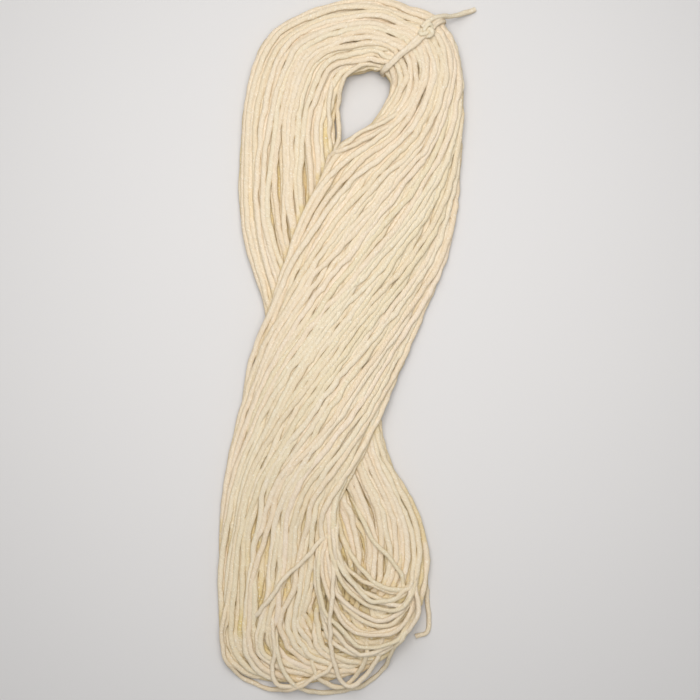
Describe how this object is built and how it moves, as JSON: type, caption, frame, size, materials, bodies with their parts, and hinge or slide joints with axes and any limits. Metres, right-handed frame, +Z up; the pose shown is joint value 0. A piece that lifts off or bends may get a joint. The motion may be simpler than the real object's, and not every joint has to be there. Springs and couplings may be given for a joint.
{
  "type": "paper yarn hank",
  "caption": "Loose hank of twisted paper yarn laid flat in a figure eight, with a short tie at its upper bend and a loose end.",
  "frame": {"origin": "on the surface the hank lies on, under the middle of its outline", "axes": "+X across the hank, +Y along it towards the tied end, +Z up from the surface"},
  "size_m": [0.1148, 0.3157, 0.0201],
  "materials": {
    "paper_yarn": "undyed twisted paper yarn, matt with a faint sheen",
    "tie_yarn": "the same paper yarn, a shade paler, tied in a knot"
  },
  "bodies": {
    "root": {"hank": "paper_yarn", "loose_end": "paper_yarn", "tie": "tie_yarn", "tie_end": "tie_yarn"}
  },
  "joints": []
}
